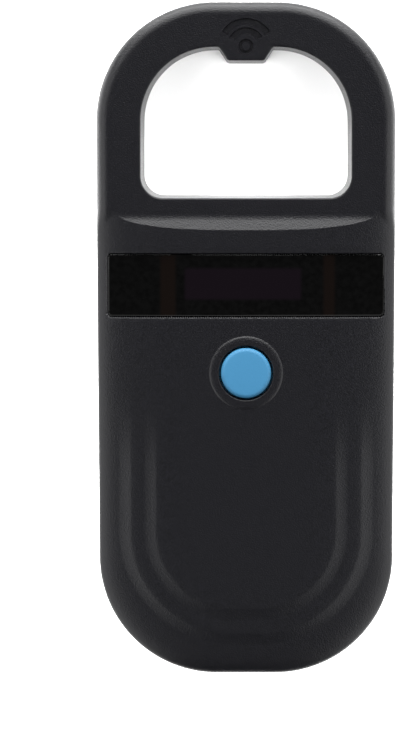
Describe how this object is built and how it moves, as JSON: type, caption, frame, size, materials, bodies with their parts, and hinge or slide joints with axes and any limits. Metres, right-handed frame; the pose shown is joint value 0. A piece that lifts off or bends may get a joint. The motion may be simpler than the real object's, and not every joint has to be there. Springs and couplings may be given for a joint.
{
  "type": "microchip scanner",
  "caption": "Handheld pet microchip scanner: black two-shell body with an open reading ring, a wide display window, a sprung blue button, and its coil, board and battery inside.",
  "frame": {"origin": "centre of the back face, which rests on the table", "axes": "+Z out of the front face with the display and button, +Y along the length towards the reading ring, +X to the right as seen from the front"},
  "size_m": [0.06, 0.135, 0.02],
  "materials": {
    "case_plastic": "fine-textured black ABS",
    "window_acrylic": "dark tinted gloss acrylic",
    "tape": "black foam tape",
    "display_glass": "polished display glass",
    "holder_plastic": "natural white plastic",
    "flex_film": "amber polyimide film",
    "board": "green solder mask",
    "chip_black": "moulded epoxy",
    "ceramic": "fired ceramic",
    "resistor_black": "glazed chip",
    "film_orange": "dipped resin",
    "steel": "bright plated steel",
    "buzzer_black": "moulded black",
    "switch_black": "moulded black",
    "plunger_white": "moulded white",
    "connector_white": "natural nylon",
    "cell_foil": "satin laminate foil",
    "foam": "soft foam",
    "wire_jacket": "silicone insulation",
    "copper": "enamelled copper",
    "tie_tape": "woven tape",
    "label_paper": "blank matt film",
    "button_blue": "satin blue plastic"
  },
  "bodies": {
    "housing": {"front_cover": "case_plastic", "back_cover": "case_plastic", "display_window": "window_acrylic", "window_tape": "tape", "oled_glass": "display_glass", "oled_holder": "holder_plastic", "oled_flex": "flex_film", "main_pcb": "board", "microcontroller": "chip_black", "reader_chip": "chip_black", "charger_chip": "chip_black", "smd_capacitors": "ceramic", "smd_resistors": "resistor_black", "tuning_capacitors": "film_orange", "crystal": "steel", "buzzer": "buzzer_black", "switch_base": "switch_black", "switch_dome": "steel", "switch_frame": "steel", "usb_shell": "steel", "usb_tongue": "switch_black", "battery_cell": "cell_foil", "battery_pad": "foam", "battery_leads": "wire_jacket", "battery_plug": "connector_white", "battery_header": "connector_white", "antenna_coil": "copper", "coil_ties": "tie_tape", "antenna_leads": "copper", "antenna_header": "connector_white", "case_screws": "steel", "pcb_screws": "steel", "back_label": "label_paper"},
    "button": {"button_cap": "button_blue"},
    "plunger": {"switch_plunger": "plunger_white"}
  },
  "joints": [
    {"name": "button_press", "type": "slide", "parent": "housing", "child": "button", "axis": [0, 0, -1], "range_m": [0, 0.0003], "stiffness_N_per_m": 1200, "springref_m": -0.0008},
    {"name": "plunger_press", "type": "slide", "parent": "housing", "child": "plunger", "axis": [0, 0, -1], "range_m": [0, 0.0003]}
  ],
  "couplings": [
    {"joint": "plunger_press", "follows": "button_press", "ratio": 1}
  ]
}
